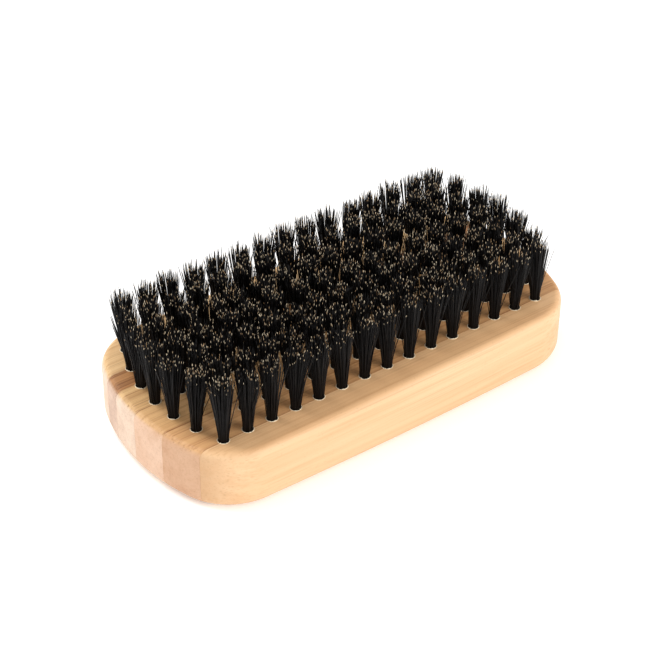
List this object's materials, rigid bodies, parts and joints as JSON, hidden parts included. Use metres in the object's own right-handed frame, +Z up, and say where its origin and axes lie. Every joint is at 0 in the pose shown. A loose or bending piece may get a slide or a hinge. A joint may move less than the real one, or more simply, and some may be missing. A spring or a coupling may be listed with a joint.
{
  "type": "beard brush",
  "caption": "Palm-sized beard brush: a low rounded block of edge-glued bamboo strips, drilled for close rows of upright dark bristle tufts",
  "frame": {"origin": "middle of the block's flat underside", "axes": "+X along the brush's long side, +Y across it, +Z up out of the block through the bristles"},
  "size_m": [0.1, 0.05, 0.0286],
  "materials": {
    "bamboo_strip_1": "sanded smooth, satin, with fine lengthwise fibres",
    "bamboo_strip_2": "sanded smooth, satin, with fine lengthwise fibres",
    "bamboo_strip_3": "sanded smooth, satin, with fine lengthwise fibres",
    "bamboo_strip_4": "sanded smooth, satin, with fine lengthwise fibres",
    "bamboo_strip_5": "sanded smooth, satin, with fine lengthwise fibres",
    "bamboo_strip_6": "sanded smooth, satin, with fine lengthwise fibres",
    "bristle": "natural bristle, satin black with paler split tips"
  },
  "bodies": {
    "root": {"bamboo_strip_1": "bamboo_strip_1", "bamboo_strip_2": "bamboo_strip_2", "bamboo_strip_3": "bamboo_strip_3", "bamboo_strip_4": "bamboo_strip_4", "bamboo_strip_5": "bamboo_strip_5", "bamboo_strip_6": "bamboo_strip_6", "tufts_row_1_group_1": "bristle", "tufts_row_1_group_2": "bristle", "tufts_row_1_group_3": "bristle", "tufts_row_1_group_4": "bristle", "tufts_row_1_group_5": "bristle", "tufts_row_1_group_6": "bristle", "tufts_row_1_group_7": "bristle", "tufts_row_2_group_1": "bristle", "tufts_row_2_group_2": "bristle", "tufts_row_2_group_3": "bristle", "tufts_row_2_group_4": "bristle", "tufts_row_2_group_5": "bristle", "tufts_row_2_group_6": "bristle", "tufts_row_2_group_7": "bristle", "tufts_row_2_group_8": "bristle", "tufts_row_3_group_1": "bristle", "tufts_row_3_group_2": "bristle", "tufts_row_3_group_3": "bristle", "tufts_row_3_group_4": "bristle", "tufts_row_3_group_5": "bristle", "tufts_row_3_group_6": "bristle", "tufts_row_3_group_7": "bristle", "tufts_row_3_group_8": "bristle", "tufts_row_4_group_1": "bristle", "tufts_row_4_group_2": "bristle", "tufts_row_4_group_3": "bristle", "tufts_row_4_group_4": "bristle", "tufts_row_4_group_5": "bristle", "tufts_row_4_group_6": "bristle", "tufts_row_4_group_7": "bristle", "tufts_row_4_group_8": "bristle", "tufts_row_5_group_1": "bristle", "tufts_row_5_group_2": "bristle", "tufts_row_5_group_3": "bristle", "tufts_row_5_group_4": "bristle", "tufts_row_5_group_5": "bristle", "tufts_row_5_group_6": "bristle", "tufts_row_5_group_7": "bristle", "tufts_row_5_group_8": "bristle", "tufts_row_6_group_1": "bristle", "tufts_row_6_group_2": "bristle", "tufts_row_6_group_3": "bristle", "tufts_row_6_group_4": "bristle", "tufts_row_6_group_5": "bristle", "tufts_row_6_group_6": "bristle", "tufts_row_6_group_7": "bristle", "tufts_row_6_group_8": "bristle", "tufts_row_7_group_1": "bristle", "tufts_row_7_group_2": "bristle", "tufts_row_7_group_3": "bristle", "tufts_row_7_group_4": "bristle", "tufts_row_7_group_5": "bristle", "tufts_row_7_group_6": "bristle", "tufts_row_7_group_7": "bristle"}
  },
  "joints": []
}
